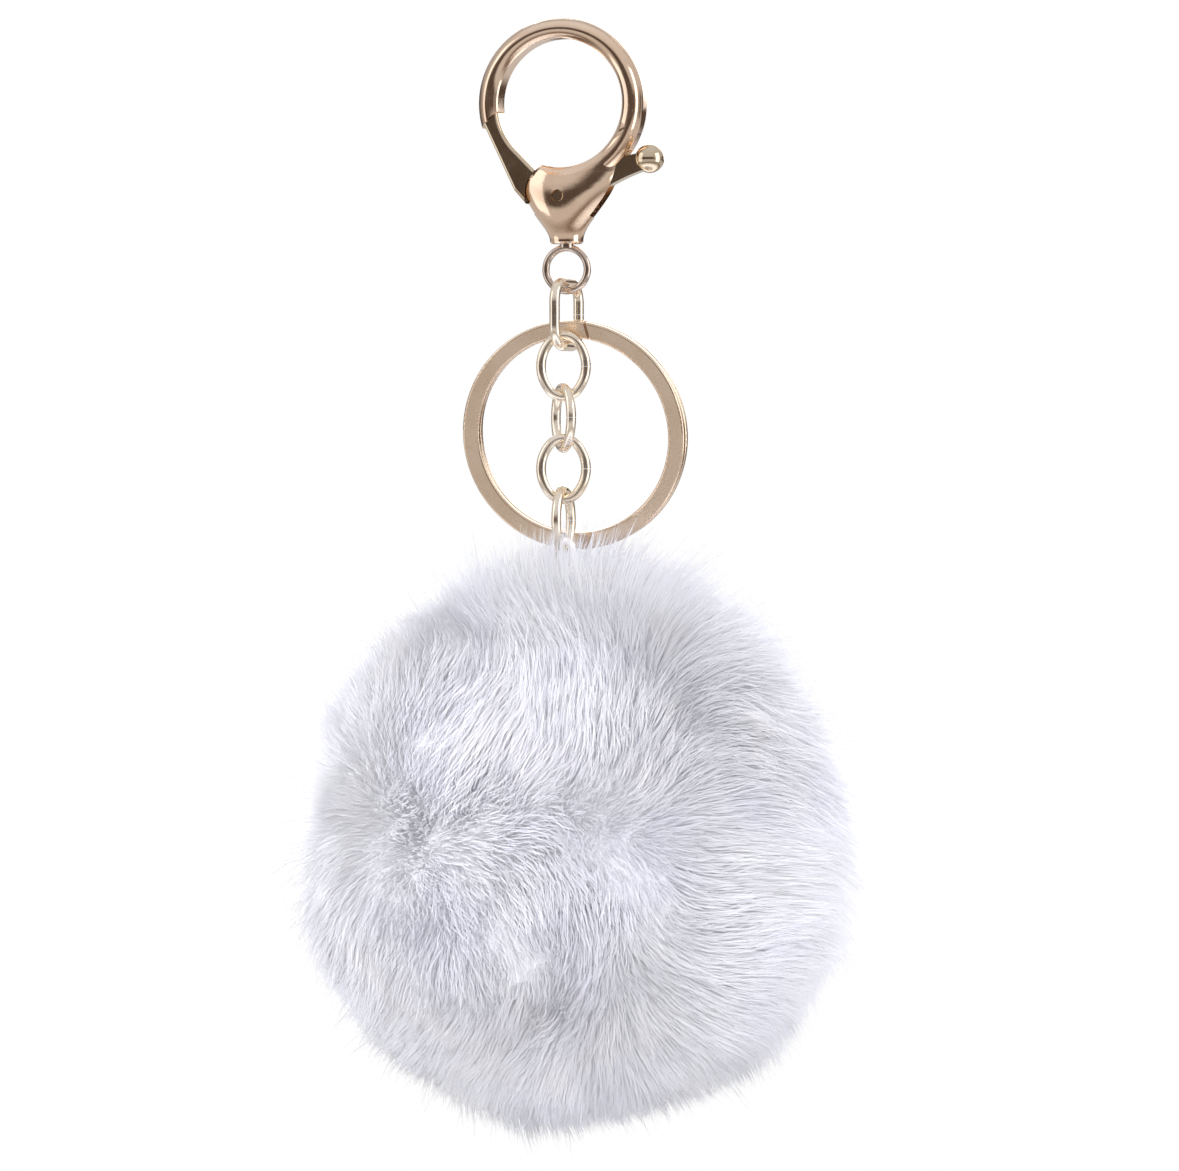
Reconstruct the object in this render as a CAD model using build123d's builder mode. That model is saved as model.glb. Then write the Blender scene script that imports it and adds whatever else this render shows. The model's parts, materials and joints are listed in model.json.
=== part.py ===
from build123d import *
import os
from math import atan2, cos, degrees, radians, sin

# Plush pom-pom keychain, in millimetres, hanging as it is worn.
# Origin: centre of the clasp hook's opening. +Z up, front of the clasp towards -Y, thumb lever at +X.

os.makedirs("parts", exist_ok=True)

# ---------------------------------------------------------------- fits
RUNNING = 0.05  # radial clearance of a pin or stem that turns in its hole
RESTING = 0.04  # gap left where one hanging piece bears on the next
PARTING = 0.05  # half of the gap between hook and gate along their joint lines

# ---------------------------------------------------------------- clasp hook
OPENING_R = 8.4  # radius of the hook's opening, the part's main interface
HOOK_OUTER_R = 11.1
HOOK_DEPTH = 4.0  # front to back
LAND_HALF = 1.5  # half length of the straight inner land of the opening
LAND_EDGE = 0.3  # chamfer at both ends of the land
HOOK_INNER_ROUND = 0.45
HOOK_OUTER_ROUND = 1.15
FLARE_R = 10.4  # the opening's edge flares out to this radius where the cheeks are thick
FLARE_HALF = 4.0

# ---------------------------------------------------------------- gate pivot
PIVOT_X = 0.1
PIVOT_Z = -12.1
CHEEK_R = 4.7  # the cheeks end on an arc about the pivot, so that the gate clears them
TIP_R = 13.9  # joint line between gate tip and hook nose, also an arc about the pivot
PIN_R = 0.8
PIN_HALF = 2.95
PIN_EDGE = 0.12
SLOT_HALF = 1.2  # half width of the slot between the cheeks
WEB_HALF = 1.1  # half thickness of the lever where it runs in the slot
HUB_R = 1.8
SLOT_HUB_R = 1.95
GATE_SPAN = (108, 216)  # angles about the pivot between which the hook is cut away for the gate
SLOT_ROOT = [(-0.5, -14.0), (0.1, -10.0)]  # where the gate's root sweeps in the slot
SLOT_ROOT_ARC = (CHEEK_R + 1.5, 106, 204)  # radius and angles about the pivot
SLOT_ARM = [(PIVOT_X, PIVOT_Z), (-0.6, -10.2), (0.8, -9.4), (9.2, -6.1)]  # where the thumb arm sweeps
SLOT_ARM_ARC = (TIP_R, 24, -34)

# ---------------------------------------------------------------- neck and swivel eye
NECK_X = 0.5
NECK_R = 2.2
NECK_EDGE = 0.25
NECK_BOTTOM = -18.28
STEM_R = 0.88
HEAD_R = 1.45
HEAD_CAVITY_R = 1.55
SHOULDER_Z = -17.3
CAVITY_TOP = -15.6
HEAD_TOP = -16.3
HEAD_ROUND = 0.4  # the head is peened over the shoulder
EYE_GAP = 0.04  # between the neck and the eye's ring
EYE_WIRE_R = 0.475
EYE_R = 2.8  # to the wire's centre line
EYE_Z = NECK_BOTTOM - EYE_GAP - EYE_WIRE_R - EYE_R

# ---------------------------------------------------------------- lever spring
SPRING_X = 2.5
SPRING_WIRE_R = 0.13
SPRING_R = 0.5
SPRING_FLOOR = -15.05
POCKET_LEFT = 1.15
POCKET_RIGHT = 3.4
POCKET_TOP = -12.2
SEAT_Z = -12.95
SPRING_TURNS = 3.5

# ---------------------------------------------------------------- chain
FIRST_WIRE_R = 0.675
FIRST_INNER_LENGTH = 7.0
FIRST_INNER_WIDTH = 6.3
FIRST_CORNER_R = 2.6  # to the wire's centre line
WIRE_R = 0.625
LINK_INNER_LENGTH = 6.7
LINK_INNER_WIDTH = 4.6
LINK_END_R = 2.3  # to the wire's centre line
BUTT_GAP = 0.06  # each link is bent shut, with its ends butted half-way up one side
TURN = {"link_1": 82.0, "link_2": 17.0, "link_3": -54.0, "link_4": 17.0, "link_5": 87.0}
CHAIN_SHIFT = -1.0  # where link 2 sits along link 1's bottom wire
RING_SHIFT = 1.32  # where the split ring sits along the same wire

# ---------------------------------------------------------------- split ring
RING_OUTER_R = 15.0
RING_BAND = 2.2  # radial width of the flattened wire
COIL_DEPTH = 1.07
COIL_GAP = 0.06
COIL_ROUND = 0.3
RING_LEAN_DEG = 8.5  # the ring leans back behind the chain
RING_SEAT_RISE = 0.5
JOGGLE_DEG = 22.0  # stretch where the wire crosses from the front coil to the rear one
JOGGLE_START_DEG = 58.0
JOGGLE_END_DEG = JOGGLE_START_DEG + JOGGLE_DEG
END_SLIT = 0.35  # gap between a wire end and the next coil
SLIT_SLANT_DEG = 24.0

# ---------------------------------------------------------------- pom-pom
BALL_R = 36.2  # body of the pile, without its loose tips
BACKING_R = 22.0  # inside of the knitted backing
STUFFING_R = 21.8
BALL_DROP = 37.95  # ball centre below the axis that the cord hangs from
BALL_MOUTH_R = 1.85
HEM_R = 3.8
HEM_RISE = 1.0
THREAD_RING_R = 3.1
THREAD_R = 0.35
THREAD_DROP = 0.6  # below the top of the hem
CORD_R = 0.55
KNOT_R = 2.3
KNOT_DROP = 2.6
KNOT_POCKET_R = 2.65

# ---------------------------------------------------------------- derived places
PIVOT = (PIVOT_X, PIVOT_Z)
FIRST_TOP = EYE_Z - EYE_R + EYE_WIRE_R + RESTING  # inner top of link 1
FIRST_BOTTOM = FIRST_TOP - FIRST_INNER_LENGTH
FIRST_Z = (FIRST_TOP + FIRST_BOTTOM) / 2
LINK_PITCH = LINK_INNER_LENGTH - RESTING
LINK_2_Z = FIRST_BOTTOM + RESTING - LINK_INNER_LENGTH / 2
FIRST_DIR = (cos(radians(TURN["link_1"])), sin(radians(TURN["link_1"])))
CHAIN_X = NECK_X + CHAIN_SHIFT * FIRST_DIR[0]
CHAIN_Y = CHAIN_SHIFT * FIRST_DIR[1]
CHAIN_BOTTOM = LINK_2_Z - 3 * LINK_PITCH - LINK_INNER_LENGTH / 2
CORD_AXIS_Z = CHAIN_BOTTOM - WIRE_R
BALL_Z = CORD_AXIS_Z - BALL_DROP
BALL_PLANE = Plane(origin=(CHAIN_X, CHAIN_Y, BALL_Z), x_dir=(1, 0, 0), z_dir=(0, -1, 0))
RING_MID_R = RING_OUTER_R - RING_BAND / 2
RING_HANG = (
    NECK_X + RING_SHIFT * FIRST_DIR[0],
    RING_SHIFT * FIRST_DIR[1],
    FIRST_BOTTOM + RING_SEAT_RISE + RING_BAND / 2,
)


def polar(centre, radius, angle_deg):
    """A point at an angle about a centre."""
    angle = radians(angle_deg)
    return (centre[0] + radius * cos(angle), centre[1] + radius * sin(angle))


def arc_points(centre, radius, start_deg, end_deg, steps=4):
    """Evenly spaced points along an arc."""
    span = (end_deg - start_deg) / steps
    return [polar(centre, radius, start_deg + span * i) for i in range(steps + 1)]


# ================================================================ clasp body
# Stations of the cheeks and neck: height, left edge, right edge, half depth.
NECK_LEFT = NECK_X - NECK_R
NECK_RIGHT = NECK_X + NECK_R
CHEEK_STATIONS = [
    (NECK_BOTTOM, NECK_LEFT, NECK_RIGHT, NECK_R),
    (-17.3, NECK_LEFT - 0.1, NECK_RIGHT + 0.05, NECK_R + 0.05),
    (-16.0, -2.6, 3.35, 2.6),
    (-14.4, -3.8, 4.55, 2.95),
    (-12.9, -4.75, 5.75, 3.1),
    (-11.3, -5.3, 6.85, 3.1),
    (-8.6, -4.6, 8.0, 2.75),
    (-5.0, 2.0, 9.35, 2.2),
    (-2.0, 6.6, 9.9, 1.75),
    (1.0, 8.7, 10.1, 1.3),
]

with BuildPart() as clasp_body:
    with BuildSketch(Plane.XY) as hook_section:
        with Locations(((OPENING_R + HOOK_OUTER_R) / 2, 0)):
            Rectangle(HOOK_OUTER_R - OPENING_R, HOOK_DEPTH)
        fillet(hook_section.vertices().group_by(Axis.X)[0], HOOK_INNER_ROUND)
        fillet(hook_section.vertices().group_by(Axis.X)[-1], HOOK_OUTER_ROUND)
    revolve(axis=Axis.Y)
    for height, left, right, half_depth in CHEEK_STATIONS:
        with BuildSketch(Plane.XY.offset(height)):
            with Locations(((left + right) / 2, 0)):
                Ellipse((right - left) / 2, half_depth)
    loft()
    # the opening, straight in the middle and flared towards both faces
    with BuildSketch(Plane.XY):
        with BuildLine():
            Polyline(
                (0, 0),
                (OPENING_R, 0),
                (OPENING_R, LAND_HALF),
                (OPENING_R + LAND_EDGE, LAND_HALF + LAND_EDGE),
                (FLARE_R, FLARE_HALF),
                (0, FLARE_HALF),
                close=True,
            )
        make_face()
        mirror(about=Plane.XZ)
    revolve(axis=Axis.Y, mode=Mode.SUBTRACT)
    # room for the gate, between the cheek arc and the hook nose
    with BuildSketch(Plane.XZ):
        with Locations(PIVOT):
            Circle(TIP_R + PARTING)
            Circle(CHEEK_R, mode=Mode.SUBTRACT)
        with BuildLine():
            Polyline(PIVOT, *arc_points(PIVOT, 2 * TIP_R, *GATE_SPAN), close=True)
        make_face(mode=Mode.INTERSECT)
    extrude(amount=HOOK_DEPTH, both=True, mode=Mode.SUBTRACT)
    # slot for the lever: round the hub, left for the gate's root, right for the thumb arm
    with BuildSketch(Plane.XZ):
        with Locations(PIVOT):
            Circle(SLOT_HUB_R)
        with BuildLine():
            Polyline(*SLOT_ROOT, *arc_points(PIVOT, *SLOT_ROOT_ARC), close=True)
        make_face()
        with BuildLine():
            Polyline(*SLOT_ARM, *arc_points(PIVOT, *SLOT_ARM_ARC), close=True)
        make_face()
        with Locations(((POCKET_LEFT + POCKET_RIGHT) / 2, (SPRING_FLOOR + POCKET_TOP) / 2)):
            Rectangle(POCKET_RIGHT - POCKET_LEFT, POCKET_TOP - SPRING_FLOOR)
    extrude(amount=SLOT_HALF, both=True, mode=Mode.SUBTRACT)
    # rivet hole through both cheeks
    with BuildSketch(Plane.XZ):
        with Locations(PIVOT):
            Circle(PIN_R)
    extrude(amount=HOOK_DEPTH, both=True, mode=Mode.SUBTRACT)
    # neck bore, head cavity and peening access
    with BuildSketch(Plane.XY.offset(NECK_BOTTOM)):
        with Locations((NECK_X, 0)):
            Circle(STEM_R + RUNNING)
    extrude(amount=SHOULDER_Z - NECK_BOTTOM, mode=Mode.SUBTRACT)
    with BuildSketch(Plane.XY.offset(SHOULDER_Z)):
        with Locations((NECK_X, 0)):
            Circle(HEAD_CAVITY_R)
    extrude(amount=CAVITY_TOP - SHOULDER_Z, mode=Mode.SUBTRACT)
    with BuildSketch(Plane.XY.offset(CAVITY_TOP)):
        with Locations((NECK_X, 0)):
            Circle(STEM_R)
    extrude(amount=PIVOT_Z - HUB_R - CAVITY_TOP, mode=Mode.SUBTRACT)
    neck_rims = clasp_body.edges().group_by(Axis.Z)[0]
    chamfer(neck_rims.sort_by(SortBy.LENGTH)[-1], NECK_EDGE)
clasp_body.part.label = "clasp_body"

# ================================================================ gate lever
GATE_HALF = 1.9  # half depth, a little less than the hook's
GATE_TIP_OUT = (-11.0, -1.2)
GATE_HEEL_OUT = (-6.15, -11.3)
GATE_ROOT_OUT = (-4.35, -13.35)
GATE_RIM_ROUND = 0.45
GATE_TAIL = 5.0  # straight stretch from the opening's circle down to the cheeks
WEB_LOW = (-0.9, -13.6)
WEB_HIGH = (-0.5, -10.45)
WEB_ARC = (CHEEK_R + 0.5, 150, 184)
THUMB_X = 11.7
THUMB_Z = -7.3
THUMB_R = 1.9
ARM_END_LOW = (THUMB_X, THUMB_Z - 1.3)
ARM_END_HIGH = (THUMB_X, THUMB_Z + 0.9)
ARM_UNDER = (6.6, -10.75)
ARM_OVER = (8.3, -7.1)
ARM_TOP = (1.4, -9.75)
SEAT_HALF = 0.7  # half length of the flat that the spring bears on
SEAT_START = (SPRING_X - SEAT_HALF, SEAT_Z)
SEAT_END = (SPRING_X + SEAT_HALF, SEAT_Z)

with BuildPart() as gate_lever:
    # the gate itself, as deep as the hook
    with BuildSketch(Plane.XZ):
        with BuildLine():
            inner = CenterArc((0, 0), OPENING_R + 2 * PARTING, 175, 50)
            tail = Line(inner @ 1, inner @ 1 + GATE_TAIL * (inner % 1))
            Polyline(tail @ 1, GATE_ROOT_OUT, GATE_HEEL_OUT, GATE_TIP_OUT, inner @ 0)
        make_face()
    extrude(amount=GATE_HALF, both=True)
    fillet(gate_lever.faces().filter_by(Axis.Y).edges(), GATE_RIM_ROUND)
    with BuildSketch(Plane.XZ):
        with Locations(PIVOT):
            Circle(TIP_R - PARTING)
            Circle(CHEEK_R + 2 * PARTING, mode=Mode.SUBTRACT)
    extrude(amount=HOOK_DEPTH, both=True, mode=Mode.INTERSECT)
    # the web in the slot: hub, root of the gate, thumb arm with its spring seat
    with BuildSketch(Plane.XZ):
        with Locations(PIVOT):
            Circle(HUB_R)
        with BuildLine():
            Polyline(WEB_LOW, PIVOT, WEB_HIGH, *arc_points(PIVOT, *WEB_ARC), close=True)
        make_face()
        with BuildLine():
            Polyline(ARM_TOP, WEB_HIGH, PIVOT, SEAT_START, SEAT_END)
            Spline(SEAT_END, ARM_UNDER, ARM_END_LOW)
            Line(ARM_END_LOW, ARM_END_HIGH)
            Spline(ARM_END_HIGH, ARM_OVER, ARM_TOP)
        make_face()
    extrude(amount=WEB_HALF, both=True)
    with BuildSketch(Plane.XZ):
        with Locations(PIVOT):
            Circle(PIN_R + RUNNING)
    extrude(amount=HOOK_DEPTH, both=True, mode=Mode.SUBTRACT)
    with Locations((THUMB_X, 0, THUMB_Z)):
        Sphere(THUMB_R)
gate_lever.part.label = "gate_lever"

# ================================================================ gate rivet
with BuildPart() as gate_pin:
    with BuildSketch(Plane.XZ):
        with Locations(PIVOT):
            Circle(PIN_R)
    extrude(amount=PIN_HALF, both=True)
    chamfer(gate_pin.edges().filter_by(GeomType.CIRCLE), PIN_EDGE)
gate_pin.part.label = "gate_pin"

# ================================================================ gate spring
SPRING_RISE = SEAT_Z - SPRING_FLOOR - 2 * SPRING_WIRE_R - 2 * RESTING
SPRING_START = SPRING_FLOOR + SPRING_WIRE_R + RESTING

with BuildPart() as gate_spring:
    with BuildLine():
        coil = Helix(
            pitch=SPRING_RISE / SPRING_TURNS,
            height=SPRING_RISE,
            radius=SPRING_R,
            center=(SPRING_X, 0, SPRING_START),
        )
    with BuildSketch(Plane(origin=coil @ 0, z_dir=coil % 0)):
        Circle(SPRING_WIRE_R)
    sweep(path=coil)
gate_spring.part.label = "gate_spring"

# ================================================================ swivel eye
with BuildPart() as swivel_eye:
    with BuildSketch(Plane(origin=(NECK_X, 0, EYE_Z), x_dir=(1, 0, 0), z_dir=(0, 0, 1))):
        with Locations((EYE_R, 0)):
            Circle(EYE_WIRE_R)
    revolve(axis=Axis((NECK_X, 0, EYE_Z), (0, 1, 0)))
    with BuildSketch(Plane.XY.offset(EYE_Z + EYE_R)):
        with Locations((NECK_X, 0)):
            Circle(STEM_R)
    extrude(amount=SHOULDER_Z + RESTING - EYE_Z - EYE_R)
    with BuildSketch(Plane.XY.offset(SHOULDER_Z + RESTING)):
        with Locations((NECK_X, 0)):
            Circle(HEAD_R)
    extrude(amount=HEAD_TOP - SHOULDER_Z - RESTING)
    fillet(swivel_eye.faces().sort_by(Axis.Z)[-1].edges(), HEAD_ROUND)
swivel_eye.part.label = "swivel_eye"


# ================================================================ chain links
def oval_side(half_length, half_width, end_r):
    """Side radius of a four-centre oval, and the angle where side and end arcs meet."""
    side_r = (half_length**2 + half_width**2 - 2 * half_length * end_r) / (2 * (half_width - end_r))
    return side_r, degrees(atan2(half_length - end_r, side_r - half_width))


def link_plane(turn_deg, x, y, z):
    """The upright plane of a link that is turned about the chain's axis."""
    turn = radians(turn_deg)
    return Plane(origin=(x, y, z), x_dir=(cos(turn), sin(turn), 0), z_dir=(sin(turn), -cos(turn), 0))


def make_oval_link(turn_deg, x, y, z):
    """An oval link of round wire, standing on end and turned about its long axis."""
    half_length = LINK_INNER_LENGTH / 2 + WIRE_R
    half_width = LINK_INNER_WIDTH / 2 + WIRE_R
    side_r, meet = oval_side(half_length, half_width, LINK_END_R)
    end_off = half_length - LINK_END_R
    side_off = side_r - half_width
    butt = degrees(BUTT_GAP / side_r)
    with BuildPart() as link:
        with BuildLine(link_plane(turn_deg, x, y, z)) as path:
            CenterArc((-side_off, 0), side_r, 0, meet)
            CenterArc((0, end_off), LINK_END_R, meet, 180 - 2 * meet)
            CenterArc((side_off, 0), side_r, 180 - meet, 2 * meet)
            CenterArc((0, -end_off), LINK_END_R, 180 + meet, 180 - 2 * meet)
            CenterArc((-side_off, 0), side_r, -meet, meet - butt)
        with BuildSketch(Plane(origin=path.wires()[0] @ 0, z_dir=path.wires()[0] % 0)):
            Circle(WIRE_R)
        sweep(path=path.wires()[0])
    return link.part


def make_first_link(turn_deg, x, y, z):
    """The wider link under the swivel, with flatter ends that seat the split ring and the chain."""
    half_length = FIRST_INNER_LENGTH / 2 + FIRST_WIRE_R
    half_width = FIRST_INNER_WIDTH / 2 + FIRST_WIRE_R
    with BuildPart() as link:
        with BuildLine(link_plane(turn_deg, x, y, z)) as path:
            FilletPolyline(
                (half_width, 0),
                (half_width, half_length),
                (-half_width, half_length),
                (-half_width, -half_length),
                (half_width, -half_length),
                (half_width, -BUTT_GAP),
                radius=FIRST_CORNER_R,
            )
        with BuildSketch(Plane(origin=path.wires()[0] @ 0, z_dir=path.wires()[0] % 0)):
            Circle(FIRST_WIRE_R)
        sweep(path=path.wires()[0])
    return link.part


link_parts = [make_first_link(TURN["link_1"], NECK_X, 0, FIRST_Z)]
for number in range(4):
    link_height = LINK_2_Z - number * LINK_PITCH
    link_parts.append(make_oval_link(TURN[f"link_{number + 2}"], CHAIN_X, CHAIN_Y, link_height))
for number, link_part in enumerate(link_parts, start=1):
    link_part.label = f"link_{number}"

# ================================================================ split ring
LEAN = radians(RING_LEAN_DEG)
RING_DOWN = (0, sin(LEAN), -cos(LEAN))
RING_CENTRE = (
    RING_HANG[0],
    RING_HANG[1] + RING_MID_R * RING_DOWN[1],
    RING_HANG[2] + RING_MID_R * RING_DOWN[2],
)
RING_FRONT = (0, -cos(LEAN), -sin(LEAN))
RING_AXIS = Axis(RING_CENTRE, RING_FRONT)
RING_FACE = Plane(origin=RING_CENTRE, x_dir=(1, 0, 0), z_dir=RING_FRONT)
# section plane: local x runs out along +X, local y runs to the rear along the ring's axis
RING_SECTION = Plane(origin=RING_CENTRE, x_dir=(1, 0, 0), z_dir=(0, -sin(LEAN), cos(LEAN)))
COIL_OFF = (COIL_DEPTH + COIL_GAP) / 2

with BuildPart() as split_ring:
    with BuildSketch(RING_SECTION):
        with Locations((RING_MID_R, -COIL_OFF), (RING_MID_R, COIL_OFF)):
            RectangleRounded(RING_BAND, COIL_DEPTH, COIL_ROUND)
    revolve(axis=RING_AXIS)
    # the joggle joins front and rear coil, so the ring is one wire of two turns
    with BuildSketch(RING_FACE):
        with BuildLine():
            sector = arc_points((0, 0), 2 * RING_OUTER_R, JOGGLE_START_DEG, JOGGLE_END_DEG, 2)
            Polyline((0, 0), *sector, close=True)
        make_face()
        Circle(RING_OUTER_R - COIL_ROUND, mode=Mode.INTERSECT)
        Circle(RING_OUTER_R - RING_BAND + COIL_ROUND, mode=Mode.SUBTRACT)
    extrude(amount=COIL_ROUND, both=True)
    # the wire's two ends, one in front and one behind
    with BuildSketch(RING_FACE):
        with Locations(polar((0, 0), RING_MID_R, JOGGLE_END_DEG)):
            Rectangle(END_SLIT, 4 * RING_BAND, rotation=JOGGLE_END_DEG + 90 + SLIT_SLANT_DEG)
    extrude(amount=2 * COIL_DEPTH, mode=Mode.SUBTRACT)
    with BuildSketch(RING_FACE):
        with Locations(polar((0, 0), RING_MID_R, JOGGLE_START_DEG)):
            Rectangle(END_SLIT, 4 * RING_BAND, rotation=JOGGLE_START_DEG + 90 - SLIT_SLANT_DEG)
    extrude(amount=-2 * COIL_DEPTH, mode=Mode.SUBTRACT)
split_ring.part.label = "split_ring"

# ================================================================ pom-pom
HEM_TOP = BACKING_R + HEM_RISE
MOUTH_PLANE = Plane.XY.offset(BALL_Z)
BALL_AXIS = Axis((CHAIN_X, CHAIN_Y, BALL_Z), (0, 0, 1))
KNOT_Z = BALL_Z + BACKING_R - KNOT_DROP

with BuildPart() as fur_ball:
    with BuildSketch(BALL_PLANE):
        Circle(BALL_R)
        Circle(BACKING_R, mode=Mode.SUBTRACT)
        with Locations((-BALL_R, 0)):
            Rectangle(2 * BALL_R, 2 * BALL_R, mode=Mode.SUBTRACT)
    revolve(axis=BALL_AXIS)
    with BuildSketch(MOUTH_PLANE):
        with Locations((CHAIN_X, CHAIN_Y)):
            Circle(BALL_MOUTH_R)
    extrude(amount=BALL_R + 1, mode=Mode.SUBTRACT)
    with BuildSketch(MOUTH_PLANE):
        with Locations((CHAIN_X, CHAIN_Y)):
            Circle(HEM_R)
    extrude(amount=HEM_TOP, mode=Mode.SUBTRACT)
fur_ball.part.label = "fur_ball"

with BuildPart() as stuffing:
    with BuildSketch(BALL_PLANE):
        Circle(STUFFING_R)
        with Locations((-BALL_R, 0)):
            Rectangle(2 * BALL_R, 2 * BALL_R, mode=Mode.SUBTRACT)
    revolve(axis=BALL_AXIS)
    with BuildSketch(Plane.XY.offset(KNOT_Z - KNOT_POCKET_R)):
        with Locations((CHAIN_X, CHAIN_Y)):
            Circle(KNOT_POCKET_R)
    extrude(amount=2 * BALL_R, mode=Mode.SUBTRACT)
stuffing.part.label = "stuffing"

with BuildPart() as gathering_thread:
    with BuildSketch(BALL_PLANE):
        with Locations((THREAD_RING_R, HEM_TOP - THREAD_DROP)):
            Circle(THREAD_R)
    revolve(axis=BALL_AXIS)
gathering_thread.part.label = "gathering_thread"

CORD_HALF = WIRE_R + RESTING + CORD_R
CORD_PLANE = link_plane(TURN["link_5"] - 90, CHAIN_X, CHAIN_Y, CORD_AXIS_Z)

with BuildPart() as cord_loop:
    with BuildLine(CORD_PLANE) as cord_path:
        Line((CORD_HALF, KNOT_Z - CORD_AXIS_Z), (CORD_HALF, 0))
        CenterArc((0, 0), CORD_HALF, 0, 180)
        Line((-CORD_HALF, 0), (-CORD_HALF, KNOT_Z - CORD_AXIS_Z))
    with BuildSketch(Plane(origin=cord_path.wires()[0] @ 0, z_dir=cord_path.wires()[0] % 0)):
        Circle(CORD_R)
    sweep(path=cord_path.wires()[0])
    with Locations((CHAIN_X, CHAIN_Y, KNOT_Z)):
        Sphere(KNOT_R)
cord_loop.part.label = "cord_loop"

# ================================================================ files, one per piece
pieces = [
    clasp_body.part,
    gate_lever.part,
    gate_pin.part,
    gate_spring.part,
    swivel_eye.part,
    *link_parts,
    split_ring.part,
    fur_ball.part,
    stuffing.part,
    gathering_thread.part,
    cord_loop.part,
]
for piece in pieces:
    export_step(piece, f"parts/{piece.label}.step")
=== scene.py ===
import json
from math import cos, pi, radians, sin

import bpy
import numpy as np
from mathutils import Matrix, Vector, kdtree


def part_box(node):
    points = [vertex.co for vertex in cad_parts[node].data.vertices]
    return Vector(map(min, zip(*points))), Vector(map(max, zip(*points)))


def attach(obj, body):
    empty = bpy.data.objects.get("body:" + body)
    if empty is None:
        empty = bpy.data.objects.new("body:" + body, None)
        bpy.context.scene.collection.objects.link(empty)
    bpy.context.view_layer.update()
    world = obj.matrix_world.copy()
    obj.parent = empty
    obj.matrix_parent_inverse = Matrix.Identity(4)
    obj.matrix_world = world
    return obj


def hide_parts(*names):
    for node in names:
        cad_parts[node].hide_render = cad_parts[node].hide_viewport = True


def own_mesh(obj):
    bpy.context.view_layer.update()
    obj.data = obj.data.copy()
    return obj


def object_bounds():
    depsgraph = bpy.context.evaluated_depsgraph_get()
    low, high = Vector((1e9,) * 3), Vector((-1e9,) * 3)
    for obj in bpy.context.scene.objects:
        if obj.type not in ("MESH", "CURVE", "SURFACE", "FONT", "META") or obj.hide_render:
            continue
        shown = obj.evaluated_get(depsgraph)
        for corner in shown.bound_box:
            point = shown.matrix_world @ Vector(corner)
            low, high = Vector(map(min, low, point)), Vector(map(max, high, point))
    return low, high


# Looks of the plush pom-pom keychain. Everything is in metres, in the CAD model's frame.
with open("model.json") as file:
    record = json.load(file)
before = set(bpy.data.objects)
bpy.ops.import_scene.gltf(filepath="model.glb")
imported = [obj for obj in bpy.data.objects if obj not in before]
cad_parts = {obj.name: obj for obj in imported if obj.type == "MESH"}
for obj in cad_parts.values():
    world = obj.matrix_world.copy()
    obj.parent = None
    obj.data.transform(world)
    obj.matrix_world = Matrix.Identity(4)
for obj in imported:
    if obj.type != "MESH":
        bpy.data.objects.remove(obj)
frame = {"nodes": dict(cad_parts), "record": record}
cad_low, cad_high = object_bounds()
MM = 0.001

# ---------------------------------------------------------------- places, all taken from the CAD model
ball_low, ball_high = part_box("fur_ball")
BALL = (ball_low + ball_high) / 2
BALL.z = ball_low.z + (ball_high.x - ball_low.x) / 2
BALL_R = (ball_high.x - ball_low.x) / 2
spring_low, spring_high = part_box("gate_spring")
thread_low, thread_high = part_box("gathering_thread")
THREAD = (thread_low + thread_high) / 2
cord_low, cord_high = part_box("cord_loop")
stuffing_low, stuffing_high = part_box("stuffing")
STUFFING_R = (stuffing_high.x - stuffing_low.x) / 2
HOOK_MOUNT = next(m for m in frame["record"]["mounts"] if m["name"] == "hook_opening")
HOOK_CENTRE = Vector(HOOK_MOUNT["pos_m"])


# ---------------------------------------------------------------- material nodes
def set_stops(ramp, stops):
    """Gives a colour ramp node its (place, colour) stops."""
    elements = ramp.color_ramp.elements
    while len(elements) < len(stops):
        elements.new(0.5)
    for element, (place, colour) in zip(elements, stops):
        element.position = place
        element.color = (*colour, 1.0)


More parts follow.
